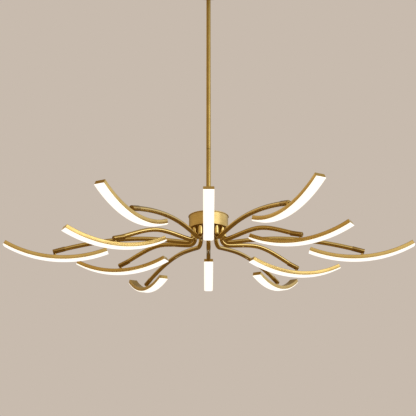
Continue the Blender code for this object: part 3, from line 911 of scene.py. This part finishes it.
# ---------------------------------------------------------------- light bars
def bar_place(number):
    """A light bar's frame: origin and +Z from its joint, +X outwards along its channel."""
    joint = JOINTS[f"bar_swivel_{number}"]
    spot, axis = Vector(joint["pos_m"]), Vector(joint["axis"]).normalized()
    outward = Vector((spot.x, spot.y, 0))
    first = (outward - axis * outward.dot(axis)).normalized()
    second = axis.cross(first)
    long, cross, short = 0.0, 0.0, 0.0
    for vertex in NODES[f"bar_channel_{number}"].data.vertices:
        a = (vertex.co - spot).dot(first)
        b = (vertex.co - spot).dot(second)
        long += a * a
        cross += a * b
        short += b * b
    turn = math.atan2(2 * cross, long - short) / 2
    along = first * math.cos(turn) + second * math.sin(turn)
    side = axis.cross(along)
    return Matrix.Translation(spot) @ Matrix((along, side, axis)).transposed().to_4x4()


def bent(name, section, start, end, steps=BAR_STEPS, inset=0.0):
    """Sweeps a section of (y, depth) points round the bar's arc from one angle to another.
    An inset draws the last ring in, for a softened edge."""
    centre = BAR_TOP_R - STEM_SHOWS
    middle_depth = sum(point[1] for point in section) / len(section)
    stations = [(start + (end - start) * i / steps, 1.0) for i in range(steps + 1)]
    if inset:
        round_angle = inset / BAR_TOP_R * (1 if end > start else -1)
        squeeze = 1 - 2 * inset / BAR_WIDTH
        stations[-1] = (end - round_angle, 1.0)
        stations.append((end, squeeze))
    rings = []
    for angle, squeeze in stations:
        ring = []
        for y, depth in section:
            level = middle_depth + (depth - middle_depth) * squeeze
            radius = BAR_TOP_R + level
            ring.append((radius * math.sin(angle), y * squeeze, centre - radius * math.cos(angle)))
        rings.append(ring)
    return loft(name, rings)


def channel_mesh():
    """The open channel between the end caps."""
    half, deep, wall = BAR_WIDTH / 2, CHANNEL_DEPTH, CHANNEL_WALL
    section = rounded([
        (-half, deep, mm(0.3)), (-half, 0, mm(1.2)), (half, 0, mm(1.2)), (half, deep, mm(0.3)),
        (half - wall, deep, mm(0.3)), (half - wall, wall, mm(0.4)),
        (wall - half, wall, mm(0.4)), (wall - half, deep, mm(0.3)),
    ], steps=3)
    reach = BAR_HALF_ANGLE - CAP_ANGLE - mm(0.15) / BAR_TOP_R
    return bent("bar_channel", section, -reach, reach)


def end_cap_mesh(name, side):
    """A block as deep as the channel, on the outer (1) or the inner (-1) end."""
    half, deep = BAR_WIDTH / 2, CHANNEL_DEPTH
    section = rounded([
        (-half, deep, mm(0.3)), (-half, 0, mm(1.0)), (half, 0, mm(1.0)), (half, deep, mm(0.3)),
    ], steps=3)
    start = side * (BAR_HALF_ANGLE - CAP_ANGLE)
    return bent(name, section, start, side * BAR_HALF_ANGLE, 1, CAP_INSET)


def lens_mesh():
    """The domed strip below the channel, with the plug that clips it in."""
    half, top, low = BAR_WIDTH / 2, CHANNEL_DEPTH + mm(0.25), BAR_DEPTH
    shoulder, crown = low - mm(1.8), half - mm(4.5)
    strip = rounded([
        (-half, top, mm(0.3)), (half, top, mm(0.3)), (half, shoulder, mm(2)),
        (crown, low, mm(5)), (-crown, low, mm(5)), (-half, shoulder, mm(2)),
    ], steps=5)
    plug_half = half - CHANNEL_WALL - mm(0.3)
    plug_low = top + mm(1)
    plug = [
        (-plug_half, LENS_PLUG_TOP), (plug_half, LENS_PLUG_TOP),
        (plug_half, plug_low), (-plug_half, plug_low),
    ]
    reach = BAR_HALF_ANGLE - 0.1 * CAP_ANGLE
    inner = reach - 2 * CAP_ANGLE
    return join_meshes("bar_lens", [
        bent("lens_strip", strip, -reach, reach), bent("lens_plug", plug, -inner, inner),
    ])


def board_meshes():
    """The LED board under the channel's roof, and its row of chips."""
    half, top = BOARD_HALF, CHANNEL_WALL + CLOSE_GAP
    low, chip_low = top + BOARD_THICK, top + BOARD_THICK + CHIP_HIGH
    reach = BAR_HALF_ANGLE - 4 * CAP_ANGLE
    board = bent("led_board", [(-half, top), (half, top), (half, low), (-half, low)],
                 -reach, reach, BOARD_STEPS)
    chip, width = CHIP_HALF, CHIP_HALF / BAR_TOP_R
    section = [(-chip, low), (chip, low), (chip, chip_low), (-chip, chip_low)]
    chips = []
    for i in range(CHIP_COUNT):
        angle = reach * 0.97 * (2 * i / (CHIP_COUNT - 1) - 1)
        chips.append(bent("led_chip", section, angle - width, angle + width, 1))
    return board, join_meshes("led_chips", chips)


def stem_meshes():
    """The pin with its foot, and the nut that holds it inside the sleeve."""
    foot_low = -STEM_SHOWS + mm(0.35)
    foot_top = foot_low + mm(2)
    pin_top = mm(7)
    pin = turned("stem_pin", rounded([
        (0, pin_top), (STEM_R, pin_top, mm(0.4)), (STEM_R, foot_top, mm(0.8)),
        (FOOT_R, foot_top - mm(0.2), mm(0.7)), (FOOT_R, foot_low, mm(0.3)), (0, foot_low),
    ], closed=False), SMALL_SIDES, closed=False)
    grip, nut_r, nut_low, nut_top = STEM_R + mm(0.02), mm(3.1), mm(4), mm(5.8)
    nut = turned("stem_nut", rounded([
        (grip, nut_low), (nut_r, nut_low, mm(0.2)), (nut_r, nut_top, mm(0.2)), (grip, nut_top),
    ]), NUT_SIDES, hex_from=mm(3))
    return pin, nut


def make_light_bars():
    channel, lens = channel_mesh(), lens_mesh()
    caps = {"outer": end_cap_mesh("outer_cap", 1), "inner": end_cap_mesh("inner_cap", -1)}
    board, chips = board_meshes()
    pin, nut = stem_meshes()
    for number in NUMBERS:
        body, place = f"light_bar_{number}", bar_place(number)
        show(f"stem_pin_{number}", pin, SLEEVE_BRASS, body, place,
             [f"bar_stem_{number}"])
        show(f"stem_nut_{number}", nut, ZINC, body, place)
        show(f"channel_{number}", channel, CHANNEL_BRASS, body, place,
             [f"bar_channel_{number}"])
        for end, mesh in caps.items():
            show(f"end_cap_{end}_{number}", mesh, CHANNEL_BRASS, body, place)
        show(f"lens_{number}", lens, OPAL, body, place, [f"bar_lens_{number}"])
        show(f"led_board_{number}", board, BOARD_WHITE, body, place)
        show(f"led_chips_{number}", chips, PHOSPHOR, body, place)


# ---------------------------------------------------------------- stage, light and camera
FLOOR_LEVEL = -2.3
FLOOR_HALF = 9.0
WALL_TONE = (0.578, 0.497, 0.423)
# What the brass reflects, from straight down (0) to straight up (1).
ROOM_BANDS = (
    (0.0, (0.16, 0.10, 0.04)), (0.46, (0.26, 0.18, 0.09)), (0.51, (0.44, 0.38, 0.30)),
    (0.58, (0.92, 0.86, 0.76)), (0.73, (1.10, 1.03, 0.93)), (0.82, (0.42, 0.36, 0.27)),
    (1.0, (0.60, 0.50, 0.33)),
)
LAMP_TONE = (1.0, 0.99, 0.97)


def make_floor():
    """A plain pale floor that is open to view from underneath."""
    mesh = bpy.data.meshes.new("studio_floor")
    work = bmesh.new()
    bmesh.ops.create_grid(work, x_segments=1, y_segments=1, size=FLOOR_HALF)
    work.to_mesh(mesh)
    work.free()
    floor = bpy.data.objects.new("studio_floor", mesh)
    floor.location.z = FLOOR_LEVEL
    bpy.context.scene.collection.objects.link(floor)
    material, tree, shader = new_material("studio_floor")
    place = add(tree, "ShaderNodeTexCoord")
    cloud = use_group(tree, HANDLING, {"Vector": place.outputs["Object"], "Size": 1.5})
    tint = add(tree, "ShaderNodeMix", {
        0: cloud["Clouds"], 6: (0.60, 0.59, 0.60, 1), 7: (0.62, 0.61, 0.62, 1),
    }, data_type="RGBA")
    tree.links.new(tint.outputs[2], shader.inputs["Base Color"])
    set_constants(shader, {
        "Roughness": 0.75, "Emission Color": (0.34, 0.32, 0.30, 1), "Emission Strength": 1.0,
    })
    shade = add(tree, "ShaderNodeBsdfDiffuse", {"Color": (0.36, 0.25, 0.11, 1)})
    ray = add(tree, "ShaderNodeLightPath")
    mix = add(tree, "ShaderNodeMixShader", {
        0: ray.outputs["Is Camera Ray"], 1: shade.outputs[0], 2: shader.outputs[0],
    })
    side = add(tree, "ShaderNodeNewGeometry")
    clear = add(tree, "ShaderNodeBsdfTransparent")
    one_sided = add(tree, "ShaderNodeMixShader", {
        0: side.outputs["Backfacing"], 1: mix.outputs[0], 2: clear.outputs[0],
    })
    output = next(node for node in tree.nodes if node.type == "OUTPUT_MATERIAL")
    tree.links.new(one_sided.outputs[0], output.inputs["Surface"])
    mesh.materials.append(material)


def make_world():
    """A plain pale room: one even tone to look at. What the brass reflects is brightest
    a little above eye level, warmer on the left, and darker below and on the far side."""
    world = bpy.data.worlds.new("studio")
    bpy.context.scene.world = world
    world.use_nodes = True
    tree = world.node_tree
    tree.nodes.clear()
    place = add(tree, "ShaderNodeTexCoord")
    parts = add(tree, "ShaderNodeSeparateXYZ", {"Vector": place.outputs["Generated"]})
    ramp = add(tree, "ShaderNodeValToRGB")
    height = add(tree, "ShaderNodeMapRange", {
        "Value": parts.outputs["Z"], "From Min": -1.0, "From Max": 1.0,
    })
    tree.links.new(height.outputs[0], ramp.inputs[0])
    elements = ramp.color_ramp.elements
    for element, (position, colour) in zip(elements, (ROOM_BANDS[0], ROOM_BANDS[-1])):
        element.position = position
        element.color = (*colour, 1)
    for position, colour in ROOM_BANDS[1:-1]:
        elements.new(position).color = (*colour, 1)
    side = add(tree, "ShaderNodeMapRange", {
        "Value": parts.outputs["X"], "From Min": -0.5, "From Max": 0.4,
    })
    tint = add(tree, "ShaderNodeMix", {
        0: side.outputs[0], 6: (0.68, 0.53, 0.32, 1), 7: (1.0, 1.0, 1.0, 1),
    }, data_type="RGBA")
    tinted = add(tree, "ShaderNodeMix", {0: 1.0, 6: ramp.outputs[0], 7: tint.outputs[2]},
                 data_type="RGBA", blend_type="MULTIPLY")
    far = add(tree, "ShaderNodeMapRange", {
        "Value": parts.outputs["Y"], "From Min": 0.45, "From Max": 0.85, "To Min": 1.0, "To Max": 0.42,
    })
    lit = add(tree, "ShaderNodeBackground", {"Color": tinted.outputs[2], "Strength": far.outputs[0]})
    seen = add(tree, "ShaderNodeBackground", {"Color": (*WALL_TONE, 1), "Strength": 1.0})
    ray = add(tree, "ShaderNodeLightPath")
    mix = add(tree, "ShaderNodeMixShader", {
        0: ray.outputs["Is Camera Ray"], 1: lit.outputs[0], 2: seen.outputs[0],
    })
    output = add(tree, "ShaderNodeOutputWorld")
    tree.links.new(mix.outputs[0], output.inputs["Surface"])


def soft_box(name, heading, climb, distance, size, glow):
    """A soft box aimed at the arms. Its heading is counted from the front towards the right
    and its climb upwards, in degrees, and its glow is the brightness of its face."""
    light = bpy.data.lights.new(name, "AREA")
    light.shape = "RECTANGLE"
    light.size, light.size_y = size
    light.energy = glow * math.pi * size[0] * size[1]
    light.color = LAMP_TONE
    item = bpy.data.objects.new(name, light)
    bpy.context.scene.collection.objects.link(item)
    turn, rise = math.radians(heading), math.radians(climb)
    away = Vector((math.sin(turn) * math.cos(rise), -math.cos(turn) * math.cos(rise), math.sin(rise)))
    item.location = Vector((0, 0, ARM_LEVEL)) + away * distance
    item.rotation_mode = "QUATERNION"
    item.rotation_quaternion = (-away).to_track_quat("-Z", "Y")


def make_lights():
    soft_box("window_light", heading=46, climb=22, distance=3.2, size=(2.2, 1.6), glow=1.25)
    soft_box("left_light", heading=-125, climb=40, distance=3.0, size=(1.2, 1.6), glow=0.4)


def make_camera():
    """Standing below the lamp and looking up at it, far enough back to show every arm."""
    aside, back, below, climb = mm(-1.6), 2.544, 0.733, math.radians(18.79)
    data = bpy.data.cameras.new("camera")
    data.sensor_width = 36.0
    data.lens = 77.9
    data.clip_end = 50.0
    camera = bpy.data.objects.new("camera", data)
    bpy.context.scene.collection.objects.link(camera)
    camera.location = (aside, -back, ARM_LEVEL - below)
    camera.rotation_euler = (math.pi / 2 + climb, 0, 0)
    bpy.context.scene.camera = camera


bpy.context.scene.view_settings.view_transform = "Standard"
make_camera()
make_canopy()
make_canopy_screws()
make_wiring()
make_rods()
make_hub()
make_arms()
make_light_bars()
make_floor()
make_world()
make_lights()
